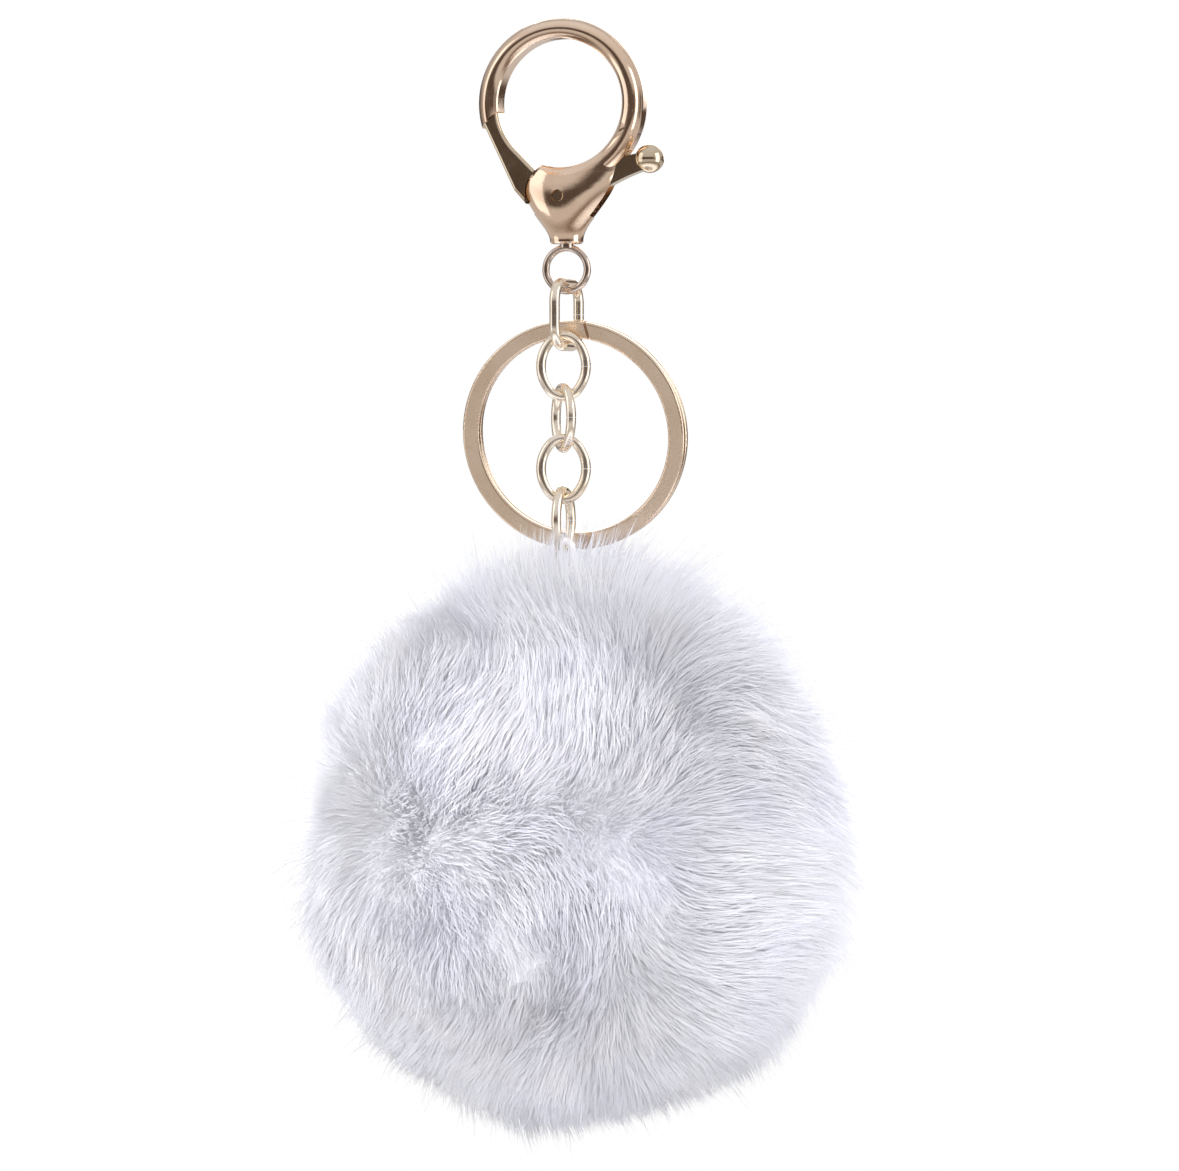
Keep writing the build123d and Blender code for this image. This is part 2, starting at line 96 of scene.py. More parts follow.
class Shader:
    """One material, built node by node around its Principled shader."""

    def __init__(self, name):
        self.material = bpy.data.materials.new(name)
        self.material.use_nodes = True
        self.tree = self.material.node_tree
        self.surface = next(n for n in self.tree.nodes if n.type == "BSDF_PRINCIPLED")
        self.place = self.node("ShaderNodeTexCoord").outputs["Object"]

    def node(self, kind, **inputs):
        """Adds a node. Each input is a value or another node's output."""
        made = self.tree.nodes.new(kind)
        for name, value in inputs.items():
            self.feed(made.inputs[name.replace("_", " ")], value)
        return made

    def feed(self, socket, value):
        if isinstance(value, bpy.types.NodeSocket):
            self.tree.links.new(value, socket)
        else:
            socket.default_value = value

    def set(self, **inputs):
        for name, value in inputs.items():
            self.feed(self.surface.inputs[name.replace("_", " ")], value)

    def stretched(self, scale):
        """Object coordinates, stretched by a factor along each axis."""
        mapping = self.node("ShaderNodeMapping", Vector=self.place)
        mapping.inputs["Scale"].default_value = scale
        return mapping.outputs["Vector"]

    def noise(self, size, detail=2.0, vector=None, distortion=0.0):
        """Smooth noise from 0 to 1, with lumps of about this size in metres."""
        made = self.node("ShaderNodeTexNoise", Vector=vector or self.place, Scale=1 / size)
        made.inputs["Detail"].default_value = detail
        made.inputs["Distortion"].default_value = distortion
        return made.outputs["Fac"]

    def distance(self, centre):
        """Distance of the shaded point from a centre, in metres."""
        made = self.tree.nodes.new("ShaderNodeVectorMath")
        made.operation = "DISTANCE"
        self.feed(made.inputs[0], self.place)
        made.inputs[1].default_value = centre
        return made.outputs["Value"]

    def ramp(self, fac, *stops):
        """Colours at places from 0 to 1, blended in between."""
        made = self.node("ShaderNodeValToRGB", Fac=fac)
        set_stops(made, stops)
        return made.outputs["Color"]

    def remap(self, value, low, high, to_low=0.0, to_high=1.0):
        """A value's range, mapped to another range."""
        made = self.node("ShaderNodeMapRange", Value=value)
        for name, limit in zip(("From Min", "From Max", "To Min", "To Max"), (low, high, to_low, to_high)):
            made.inputs[name].default_value = limit
        return made.outputs["Result"]

    def math(self, operation, a, b=0.0):
        made = self.tree.nodes.new("ShaderNodeMath")
        made.operation = operation
        self.feed(made.inputs[0], a)
        self.feed(made.inputs[1], b)
        return made.outputs["Value"]

    def mix(self, fac, a, b, blend="MIX"):
        made = self.tree.nodes.new("ShaderNodeMix")
        made.data_type = "RGBA"
        made.blend_type = blend
        self.feed(made.inputs["Factor"], fac)
        self.feed(made.inputs["A"], a)
        self.feed(made.inputs["B"], b)
        return made.outputs["Result"]

    def bump(self, height, depth, normal=None):
        """Bump of a depth in metres, on top of another bump's normal if it is given."""
        made = self.node("ShaderNodeBump", Height=height, Strength=1.0)
        made.inputs["Distance"].default_value = depth
        if normal is not None:
            self.feed(made.inputs["Normal"], normal)
        return made.outputs["Normal"]


# ---------------------------------------------------------------- metal
HOOK_MID_R = 9.75 * MM  # middle of the hook's band
HOOK_CROWN_HALF = 1.2 * MM  # distance from the band's middle at which the crown ends
HOOK_CROWN = 300.0  # height lost per square of the distance from the band's middle
HOOK_CROWN_FADE = (-9 * MM, -4 * MM)  # heights between which the crown fades in, above the cheeks


def hook_crown(s):
    """Height of the hook's faces, which are polished slightly round across their width, in metres."""
    split = s.node("ShaderNodeSeparateXYZ", Vector=s.place)
    x = s.math("SUBTRACT", split.outputs["X"], HOOK_CENTRE.x)
    z = s.math("SUBTRACT", split.outputs["Z"], HOOK_CENTRE.z)
    radius = s.math("SQRT", s.math("ADD", s.math("MULTIPLY", x, x), s.math("MULTIPLY", z, z)))
    off = s.math("SUBTRACT", radius, HOOK_MID_R)
    fall = s.math("MINIMUM", s.math("MULTIPLY", off, off), HOOK_CROWN_HALF**2)
    above_cheeks = s.remap(split.outputs["Z"], *HOOK_CROWN_FADE)
    return s.math("MULTIPLY", s.math("MULTIPLY", fall, -HOOK_CROWN), above_cheeks)


def plated_metal(name, light, shade, rough, wave_depth, scratch_depth, polish_depth=0.0, crowned=False):
    """Bright plating: uneven tint, smudges, the casting's slight waves, and hairline scratches.

    Polish depth is that of the broad waves left by the polishing wheel.
    """
    s = Shader(name)
    tint = s.noise(5 * MM, 3)
    dust = s.remap(s.noise(0.5 * MM, 4), 0.62, 0.8)
    colour = s.ramp(tint, (0.35, shade), (0.62, light))
    dull = s.remap(s.noise(2.2 * MM, 2), 0.3, 0.8, rough, rough * 1.6)
    scratch = s.remap(s.noise(0.09 * MM, 2, s.stretched((1, 1, 0.07)), 0.4), 0.6, 0.72)
    shape = s.bump(hook_crown(s), 1.0) if crowned else None
    polish = s.bump(s.noise(9 * MM, 0), polish_depth, shape)
    waves = s.bump(s.noise(2.5 * MM, 1), wave_depth, polish)
    s.set(
        Base_Color=s.mix(s.math("MULTIPLY", dust, 0.06), colour, (*[c * 0.75 for c in shade], 1)),
        Metallic=1.0,
        Roughness=s.math("ADD", dull, s.math("MULTIPLY", scratch, 0.05)),
        Normal=s.bump(scratch, scratch_depth, waves),
    )
    return s.material


METALS = {
    "clasp_metal": plated_metal(
        "rose_gold_plating",
        light=(0.93, 0.73, 0.57),
        shade=(0.88, 0.66, 0.49),
        rough=0.085,
        wave_depth=0.008 * MM,
        scratch_depth=0.0008 * MM,
        polish_depth=0.2 * MM,
        crowned=True,
    ),
    # The gate has the clasp's plating, painted darker: painted shade for the shadow the gate sits in.
    "gate_metal_painted_shade": plated_metal(
        "gate_plating_painted_shade",
        light=(0.76, 0.64, 0.48),
        shade=(0.70, 0.58, 0.43),
        rough=0.085,
        wave_depth=0.008 * MM,
        scratch_depth=0.0008 * MM,
        polish_depth=0.1 * MM,
    ),
    "chain_metal": plated_metal(
        "pale_gold_plating",
        light=(0.95, 0.86, 0.74),
        shade=(0.92, 0.80, 0.64),
        rough=0.14,
        wave_depth=0.006 * MM,
        scratch_depth=0.0008 * MM,
    ),
    "ring_metal": plated_metal(
        "tan_gold_plating",
        light=(0.82, 0.66, 0.51),
        shade=(0.77, 0.60, 0.45),
        rough=0.19,
        wave_depth=0.003 * MM,
        scratch_depth=0.0006 * MM,
    ),
    "eye_metal": plated_metal(
        "eye_plating",
        light=(0.66, 0.55, 0.47),
        shade=(0.56, 0.46, 0.40),
        rough=0.12,
        wave_depth=0.006 * MM,
        scratch_depth=0.0008 * MM,
    ),
    "spring_steel": plated_metal(
        "spring_steel",
        light=(0.60, 0.60, 0.61),
        shade=(0.50, 0.50, 0.52),
        rough=0.22,
        wave_depth=0.004 * MM,
        scratch_depth=0.0010 * MM,
    ),
}
METAL_OF_NODE = {
    "clasp_body": "clasp_metal",
    # The gate and its pin take the darker plating, which is painted shade.
    "gate_lever": "gate_metal_painted_shade",
    "gate_pin": "gate_metal_painted_shade",
    "swivel_eye": "eye_metal",
    "split_ring": "ring_metal",
}


def finish_metal_nodes():
    """Gives every CAD metal node its plating."""
    for name, node in frame["nodes"].items():
        if name.startswith("link_"):
            metal = METALS["chain_metal"]
        elif name in METAL_OF_NODE:
            metal = METALS[METAL_OF_NODE[name]]
        else:
            continue
        node.data.materials.clear()
        node.data.materials.append(metal)


# ---------------------------------------------------------------- soft materials
def pile_material():
    """White synthetic fur in soft patches, with painted shade: cool grey towards the roots, deep in the
    pile, and whiter at the tips.
    """
    s = Shader("pile_fibre_with_painted_shade")
    depth = s.remap(s.distance(BALL), BALL_R - 8 * MM, BALL_R + 1 * MM)
    # Painted shade: the fibre colour turns greyer the deeper a point lies in the pile, and whiter towards
    # the tips.
    fibre = s.ramp(depth, (0.0, (0.89, 0.89, 0.93)), (0.55, (0.93, 0.93, 0.96)), (1.0, (0.95, 0.95, 0.98)))
    patches = s.ramp(s.noise(14 * MM, 2), (0.35, (0.95, 0.95, 1.0)), (0.65, (1.0, 1.0, 0.99)))
    s.set(
        Base_Color=s.mix(1.0, fibre, patches, "MULTIPLY"),
        Roughness=0.75,
        Sheen_Weight=0.25,
        Sheen_Roughness=0.5,
        Specular_IOR_Level=0.2,
    )
    return s.material


def fibre_mat_material(name, low, high, grain, depth):
    """Matted or twisted fibre: fine mottling with matching bump."""
    s = Shader(name)
    mottle = s.noise(grain, 5, distortion=0.6)
    s.set(
        Base_Color=s.ramp(mottle, (0.3, low), (0.7, high)),
        Roughness=s.remap(mottle, 0.2, 0.8, 0.8, 0.98),
        Sheen_Weight=0.3,
        Normal=s.bump(mottle, depth),
    )
    return s.material


def knit_material():
    """The backing's knit: fine rows round the ball, broken up into stitches."""
    s = Shader("backing_knit")
    row = s.tree.nodes.new("ShaderNodeTexWave")
    s.feed(row.inputs["Vector"], s.place)
    row.wave_type = "RINGS"
    row.rings_direction = "Z"
    row.inputs["Scale"].default_value = 1 / (3.2 * MM)
    row.inputs["Distortion"].default_value = 1.5
    stitch = s.math("MULTIPLY", row.outputs["Fac"], s.noise(0.7 * MM, 2))
    s.set(
        Base_Color=s.ramp(stitch, (0.1, (0.78, 0.78, 0.8)), (0.7, (0.92, 0.92, 0.93))),
        Roughness=s.remap(stitch, 0.0, 1.0, 0.95, 0.8),
        Normal=s.bump(stitch, 0.2 * MM),
    )
    return s.material


def cord_material():
    """Milky elastic cord, with fine lengthwise streaks."""
    s = Shader("elastic_cord")
    streak = s.noise(0.35 * MM, 3, s.stretched((1, 1, 0.15)))
    s.set(
        Base_Color=s.ramp(streak, (0.3, (0.82, 0.78, 0.77)), (0.7, (0.93, 0.91, 0.9))),
        Roughness=s.remap(streak, 0.3, 0.7, 0.32, 0.5),
        Subsurface_Weight=0.3,
        Subsurface_Radius=(1 * MM, 1 * MM, 1 * MM),
        Normal=s.bump(streak, 0.02 * MM),
    )
    return s.material


# ---------------------------------------------------------------- mesh helpers
def mesh_object(name, points, faces, material):
    """A smooth mesh piece from an array of points and an array of faces with one number of corners."""
    mesh = bpy.data.meshes.new(name)
    points = np.asarray(points, np.float32)
    faces = np.asarray(faces, np.int32)
    mesh.vertices.add(len(points))
    mesh.vertices.foreach_set("co", points.ravel())
    mesh.loops.add(faces.size)
    mesh.loops.foreach_set("vertex_index", faces.ravel())
    mesh.polygons.add(len(faces))
    mesh.polygons.foreach_set("loop_start", np.arange(len(faces), dtype=np.int32) * faces.shape[1])
    mesh.polygons.foreach_set("use_smooth", np.full(len(faces), True))
    mesh.update(calc_edges=True)
    mesh.validate()
    mesh.materials.append(material)
    made = bpy.data.objects.new(name, mesh)
    bpy.context.scene.collection.objects.link(made)
    return made


def unit(vectors):
    return vectors / np.linalg.norm(vectors, axis=1, keepdims=True)


def waves(points, size, seed, channels=1, terms=18):
    """Smooth seeded noise, mostly from -1 to 1 at each point, with lumps of about this size."""
    rng = np.random.default_rng(seed)
    heading = rng.normal(size=(channels, terms, 3))
    heading /= np.linalg.norm(heading, axis=2, keepdims=True)
    pace = 2 * pi / (size * rng.uniform(0.7, 1.5, (channels, terms)))
    phase = rng.uniform(0, 2 * pi, (channels, terms))
    total = np.empty((len(points), channels))
    for c in range(channels):
        total[:, c] = np.sin(points @ (heading[c] * pace[c][:, None]).T + phase[c]).sum(1)
    total /= (terms / 2) ** 0.5
    return total if channels > 1 else total[:, 0]


def tube(path, radii, sides, closed=False):
    """Points and quads of a round tube along a path.

    An open path gets capped ends, for which the number of sides has to be even.
    """
    path = np.asarray(path, float)
    count = len(path)
    ahead = np.roll(path, -1, 0) - np.roll(path, 1, 0)
    if not closed:
        ahead[0] = path[1] - path[0]
        ahead[-1] = path[-1] - path[-2]
    ahead /= np.linalg.norm(ahead, axis=1, keepdims=True)
    side = np.cross(ahead[0], (0.3, 0.5, 0.81))  # any direction that no path here starts along
    sides_u = np.empty_like(path)
    for i in range(count):
        side = side - ahead[i] * (side @ ahead[i])
        side /= np.linalg.norm(side)
        sides_u[i] = side
    sides_v = np.cross(ahead, sides_u)
    angle = np.arange(sides) * 2 * pi / sides
    radii = np.broadcast_to(np.asarray(radii, float), (count,))
    rings = path[:, None] + radii[:, None, None] * (
        np.cos(angle)[None, :, None] * sides_u[:, None] + np.sin(angle)[None, :, None] * sides_v[:, None]
    )
    spans = count if closed else count - 1
    i = np.arange(spans)[:, None]
    j = np.arange(sides)[None, :]
    here = i * sides
    there = ((i + 1) % count) * sides
    quads = np.stack(
        (here + j, here + (j + 1) % sides, there + (j + 1) % sides, there + j), axis=-1
    ).reshape(-1, 4)
    if not closed:
        k = np.arange(sides // 2 - 1)
        cap = np.stack((k, k + 1, sides - 2 - k, sides - 1 - k), 1)
        quads = np.concatenate((cap[:, ::-1], quads, cap + (count - 1) * sides))
    return rings.reshape(-1, 3), quads


def joined(parts):
    """One array of points and one of quads, from several (points, quads) pairs."""
    starts = np.cumsum([0] + [len(points) for points, _ in parts[:-1]])
    return (
        np.concatenate([points for points, _ in parts]),
        np.concatenate([quads + start for (_, quads), start in zip(parts, starts)]),
    )


def shell_of_revolution(profile, turns):
    """A closed surface from a closed profile of (radius, height) points, turned about the upright axis."""
    angle = np.arange(turns) * 2 * pi / turns
    points = np.stack(
        (
            np.cos(angle)[:, None] * profile[:, 0],
            np.sin(angle)[:, None] * profile[:, 0],
            np.broadcast_to(profile[:, 1], (turns, len(profile))),
        ),
        -1,
    ).reshape(-1, 3)
    n = len(profile)
    i = np.arange(turns)[:, None]
    j = np.arange(n)[None]
    here, there = i * n, ((i + 1) % turns) * n
    ahead = (j + 1) % n
    quads = np.stack((here + j, there + j, there + ahead, here + ahead), -1)
    return points, quads.reshape(-1, 4)


def hollow_ball_profile(inner_r, outer_r, mouth_r, steps):
    """Half section of a hollow ball with a mouth at the top, as (radius, height) points about its centre."""
    low = 0.004  # keeps the pole's quads from collapsing
    outer = np.linspace(low, pi - np.arcsin(mouth_r / outer_r), steps)
    inner = np.linspace(pi - np.arcsin(mouth_r / inner_r), low, steps)
    out_points = np.stack((np.sin(outer) * outer_r, -np.cos(outer) * outer_r), 1)
    in_points = np.stack((np.sin(inner) * inner_r, -np.cos(inner) * inner_r), 1)
    return np.concatenate((out_points, in_points))


# ---------------------------------------------------------------- lever spring
SPRING_WIRE_R = 0.13 * MM
SPRING_TURNS = 3.5
SPRING_END = 0.75  # turns that are wound close at each end
SPRING_STEPS = 300
SPRING_SIDES = 10


def make_spring(material):
    """The coil spring under the lever, with its end turns closed. It stands on the pocket's floor."""
    middle = (spring_low + spring_high) / 2
    coil_r = (spring_high.x - spring_low.x) / 2 - SPRING_WIRE_R
    bottom = spring_low.z + SPRING_WIRE_R
    top = spring_high.z - SPRING_WIRE_R
    end_rise = SPRING_END * 2 * SPRING_WIRE_R
    turns = np.linspace(0, SPRING_TURNS, SPRING_STEPS)
    height = np.interp(
        turns,
        (0, SPRING_END, SPRING_TURNS - SPRING_END, SPRING_TURNS),
        (bottom, bottom + end_rise, top - end_rise, top),
    )
    angle = 2 * pi * turns
    path = np.stack((middle.x + coil_r * np.cos(angle), middle.y + coil_r * np.sin(angle), height), 1)
    made = mesh_object("lever_spring", *tube(path, SPRING_WIRE_R, SPRING_SIDES), material)
    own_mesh(made)
    return made


# ---------------------------------------------------------------- pile
# Lengths with MM are in metres. TIP_SCATTER and the REACH and SCATTER numbers without it are in mm.
MOUTH_R = 1.8 * MM  # clear room round the cord, at the top of the ball
ROOT_CLEAR_R = MOUTH_R * 1.1
TIP_CLEAR_R = MOUTH_R * 0.75
ROOT_R = BALL_R - 8.0 * MM
PILE_LEAN = np.array((2.0, 0.5, 0.0)) * MM  # the pile is fuller towards the thumb lever's side
PILE_PANELS = 6
PILE_SEED = 7
STRANDS = 66000
STRAND_JITTER = 0.7
CLUMPS = 3000
CLUMP_JITTER = 0.9
CLUMP_PULL = (0.05, 0.5)  # share of the way to its clump's tip that each strand's tip is drawn
TUFT_SEED = 11
COMB_BROAD, COMB_BROAD_SIZE = 0.05, 1.3  # how far, and in what size of swirl, the pile is combed
COMB_FINE, COMB_FINE_SIZE = 0.014, 0.22
COMB_DROOP = 0.04
REACH = 1.4  # mean length of the pile past the CAD ball
REACH_BROAD, REACH_BROAD_SIZE = 0.55, 0.55
REACH_FINE, REACH_FINE_SIZE = 0.35, 0.16
CROWN_FROM, CROWN_SPREAD = 0.86, 0.14  # height on the unit ball where the longer crown begins, and its span
CROWN_REACH = 2.0 * MM
CROWN_UNCOMBED = 0.7  # share of the combing that is left out at the crown
TIP_SCATTER = 0.45
STRAY_SHARE, STRAY_REACH, STRAY_SCATTER = 0.06, (0.5, 1.7), 0.9  # loose strands that stand out of the pile
WISP_SHARE, WISP_REACH, WISP_FROM = 0.3, (0.5, 3.0), 0.9  # longer strands round the mouth
BEND_AT = 0.55  # share of its length over which a strand leaves its root straight
STRAND_THICKNESS = (0.75, 1.2)  # each strand's own share of that mean radius
# Places along a strand, and its mean radius there in mm.
STRAND_RINGS = ((0.0, 0.085), (0.38, 0.075), (0.72, 0.05))
STRAND_POINTS = 10  # three rings of three corners, and the tip
STRAND_ROUNDNESS = 0.25  # how far the normals lean from the ball's towards each strand's own


def spread_directions(count, rng, jitter):
    """Unit vectors spread evenly over a sphere, each moved a little."""
    i = np.arange(count) + 0.5
    polar = np.arccos(1 - 2 * i / count)
    turn = pi * (1 + 5**0.5) * i
    points = np.stack((np.cos(turn) * np.sin(polar), np.sin(turn) * np.sin(polar), np.cos(polar)), 1)
    points += rng.normal(size=points.shape) * jitter / count**0.5
    return points / np.linalg.norm(points, axis=1, keepdims=True)


def tip_places(normals):
    """Where the pile's tips lie for roots along these directions: combed, drooping and in uneven lengths."""
    comb = waves(normals, COMB_BROAD_SIZE, TUFT_SEED, channels=3) * COMB_BROAD
    comb += waves(normals, COMB_FINE_SIZE, TUFT_SEED + 1, channels=3) * COMB_FINE
    comb[:, 2] -= COMB_DROOP
    length = REACH + REACH_BROAD * waves(normals, REACH_BROAD_SIZE, TUFT_SEED + 2)
    length += REACH_FINE * waves(normals, REACH_FINE_SIZE, TUFT_SEED + 3)
    reach = BALL_R + MM * length
    crown = np.clip((normals[:, 2] - CROWN_FROM) / CROWN_SPREAD, 0, 1)
    reach += CROWN_REACH * crown
    return unit(normals + comb * (1 - CROWN_UNCOMBED * crown[:, None])) * reach[:, None] + PILE_LEAN


def nearest_clumps(normals, clump_normals):
    """The number of the clump that each strand belongs to."""
    tree = kdtree.KDTree(len(clump_normals))
    for i, n in enumerate(clump_normals):
        tree.insert(n, i)
    tree.balance()
    return np.array([tree.find(n)[1] for n in normals])


def place_strands(rng):
    """Each strand's direction, root, bend and tip about the ball's centre, with the mouth left clear."""
    normals = spread_directions(STRANDS, rng, STRAND_JITTER)
    clump_normals = spread_directions(CLUMPS, rng, CLUMP_JITTER)
    clump_tips = tip_places(clump_normals)
    nearest = nearest_clumps(normals, clump_normals)

    roots = normals * ROOT_R
    tips = tip_places(normals)
    pull = rng.uniform(*CLUMP_PULL, (STRANDS, 1))
    tips += (clump_tips[nearest] - tips) * pull
    tips += rng.normal(size=tips.shape) * TIP_SCATTER * MM
    stray = rng.random(STRANDS) < STRAY_SHARE
    tips[stray] += unit(tips[stray]) * rng.uniform(*STRAY_REACH, (stray.sum(), 1)) * MM
    tips[stray] += rng.normal(size=(stray.sum(), 3)) * STRAY_SCATTER * MM
    wisp = (rng.random(STRANDS) < WISP_SHARE) & (normals[:, 2] > WISP_FROM)
    tips[wisp] += unit(tips[wisp]) * rng.uniform(*WISP_REACH, (wisp.sum(), 1)) * MM
    bend = roots + unit(roots) * np.linalg.norm(tips - roots, axis=1, keepdims=True) * BEND_AT

    root_clear = np.hypot(roots[:, 0], roots[:, 1]) > ROOT_CLEAR_R
    tip_clear = np.hypot(tips[:, 0], tips[:, 1]) > TIP_CLEAR_R
    kept = (root_clear & tip_clear) | (normals[:, 2] < 0)
    return normals[kept], roots[kept], bend[kept], tips[kept]


def strand_faces():
    """Triangles of one three-sided strand: its root end, its sides and its point."""
    faces = [(2, 1, 0)]
    for ring in range(2):
        for k in range(3):
            a, b = ring * 3 + k, ring * 3 + (k + 1) % 3
            faces += [(a, b, b + 3), (a, b + 3, a + 3)]
    faces += [(6 + k, 6 + (k + 1) % 3, 9) for k in range(3)]
    return np.array(faces)


def make_pile(material):
    """Tapering three-sided strands in tufts, in panels of the cover."""
    rng = np.random.default_rng(PILE_SEED)
    normals, roots, bend, tips = place_strands(rng)
    count = len(roots)
    thick = rng.uniform(*STRAND_THICKNESS, (count, 1)) * MM
    side = unit(np.cross(tips - roots, rng.normal(size=(count, 3))))
    across = unit(np.cross(tips - roots, side))
    corners = [side * cos(2 * pi * k / 3) + across * sin(2 * pi * k / 3) for k in range(3)]

    points = []
    for t, width in STRAND_RINGS:
        centre = (1 - t) ** 2 * roots + 2 * t * (1 - t) * bend + t**2 * tips
        points += [centre + thick * width * corner for corner in corners]
    strand = np.stack(points + [tips], 1) + np.array(BALL)
    shape = (count, STRAND_POINTS, 3)
    outward = unit(strand.reshape(-1, 3) - np.array(BALL)).reshape(shape)
    lean = np.stack(corners * len(STRAND_RINGS) + [side * 0], 1)
    soft = unit((outward + STRAND_ROUNDNESS * lean).reshape(-1, 3)).reshape(shape)

    faces = strand_faces()
    turn = np.arctan2(normals[:, 1], normals[:, 0]) / (2 * pi) + 0.5
    panel = np.clip(np.floor(turn * PILE_PANELS).astype(int), 0, PILE_PANELS - 1)
    made = []
    for p in range(PILE_PANELS):
        own = panel == p
        starts = np.arange(own.sum())[:, None, None] * STRAND_POINTS
        triangles = (faces[None] + starts).reshape(-1, 3)
        piece = mesh_object(f"fur_pile_{p + 1}", strand[own].reshape(-1, 3), triangles, material)
        piece.data.normals_split_custom_set_from_vertices(soft[own].reshape(-1, 3))
        made.append(piece)
    return made


# ---------------------------------------------------------------- under the pile
UNDERLAYER_R = BALL_R - 5.4 * MM
BACKING_OUT_R = STUFFING_R + 1.4 * MM
BACKING_IN_R = STUFFING_R + 0.3 * MM
RIBS, RIB_HEIGHT = 60, 0.12 * MM
PUCKERS, PUCKER_HEIGHT = 11, 1.2  # the height is in mm


def make_underlayer(material):
    """The dense woolly underside of the pile, lumpy where tufts press together."""
    profile = hollow_ball_profile(BACKING_OUT_R + 0.2 * MM, UNDERLAYER_R, mouth_r=2.6 * MM, steps=150)
    points, quads = shell_of_revolution(profile, turns=260)
    normals = unit(points)
    outer = np.linalg.norm(points, axis=1) > (UNDERLAYER_R + BACKING_OUT_R) / 2
    lumps = 0.7 * waves(normals, 0.4, 31) + 0.4 * waves(normals, 0.14, 32) + 0.2 * waves(normals, 0.06, 33)
    away = np.clip(np.hypot(points[:, 0], points[:, 1]) / (6 * MM), 0, 1)
    points += normals * (outer * away * lumps * MM)[:, None]
    return mesh_object("fur_underlayer", points + np.array(BALL), quads, material)


def make_backing(material):
    """The knitted backing, with fine ribs and puckers where the thread gathers it round the mouth."""
    profile = hollow_ball_profile(BACKING_IN_R, BACKING_OUT_R, mouth_r=2.5 * MM, steps=130)
    points, quads = shell_of_revolution(profile, turns=240)
    normals = unit(points)
    turn = np.arctan2(points[:, 1], points[:, 0])
    ribs = RIB_HEIGHT * np.sin(turn * RIBS)
    pucker = np.clip(points[:, 2] / BACKING_OUT_R - 0.8, 0, 1) * PUCKER_HEIGHT * MM
    folds = pucker * np.sin(turn * PUCKERS)
    fade = np.clip(np.hypot(points[:, 0], points[:, 1]) / (3 * MM), 0, 1)
    points += normals * ((ribs + folds * 0.5) * fade)[:, None]
    return mesh_object("fur_backing", points + np.array(BALL), quads, material)


def make_stuffing(material):
    """Loose fibre filling, pressed into lumps, hollow inside and open at the top for the knot."""
    profile = hollow_ball_profile(STUFFING_R * 0.35, STUFFING_R - 0.9 * MM, mouth_r=2.9 * MM, steps=90)
    points, quads = shell_of_revolution(profile, turns=150)
    normals = unit(points)
    lumps = 0.45 * waves(normals, 0.5, 41) + 0.25 * waves(normals, 0.2, 42)
    points += normals * (np.clip(lumps, -1, 1) * MM)[:, None]
    return mesh_object("stuffing_fill", points + np.array(BALL), quads, material)


# ---------------------------------------------------------------- thread and cord
PLY_R = 0.13 * MM
PLY_OFFSET = 0.1 * MM  # distance of each ply's middle from the thread's
PLY_TWISTS = 40
THREAD_INSET = 0.35 * MM
WEAVES, WEAVE_DEPTH = 12, 0.22 * MM
CORD_R = 0.55 * MM  # the CAD cord's own radius
CORD_BEND_R = 1.215 * MM  # radius of the CAD cord's bend over the link
CORD_TURN = radians(-3)
CORD_TUBE_R = 0.49 * MM
LEG_START = 2.6 * MM  # height above the knot's middle where the loop's legs begin
KNOT_R = (cord_high.y - cord_low.y) / 2
KNOT_SCALE = 0.55 * MM
KNOT_DEPTH = 1.05
KNOT_OPEN = 0.75  # radians left out of the knot's curve at each end, where the legs join it
EASE_STEPS = 8


def make_thread(material):
    """Two-ply gathering thread that runs in and out round the mouth."""
    ring_r = (thread_high.x - thread_low.x) / 2 - THREAD_INSET
    turn = np.linspace(0, 2 * pi, 240, endpoint=False)
    weave = WEAVE_DEPTH * np.sin(turn * WEAVES)
    plies = []
    for ply in range(2):
        twist = turn * PLY_TWISTS + ply * pi
        radius = ring_r + PLY_OFFSET * np.cos(twist) + weave * 0.5
        height = THREAD.z + PLY_OFFSET * np.sin(twist)
        path = np.stack((THREAD.x + radius * np.cos(turn), THREAD.y + radius * np.sin(turn), height), 1)
        plies.append(tube(path, PLY_R, 8, closed=True))
    return mesh_object("drawstring_thread", *joined(plies), material)


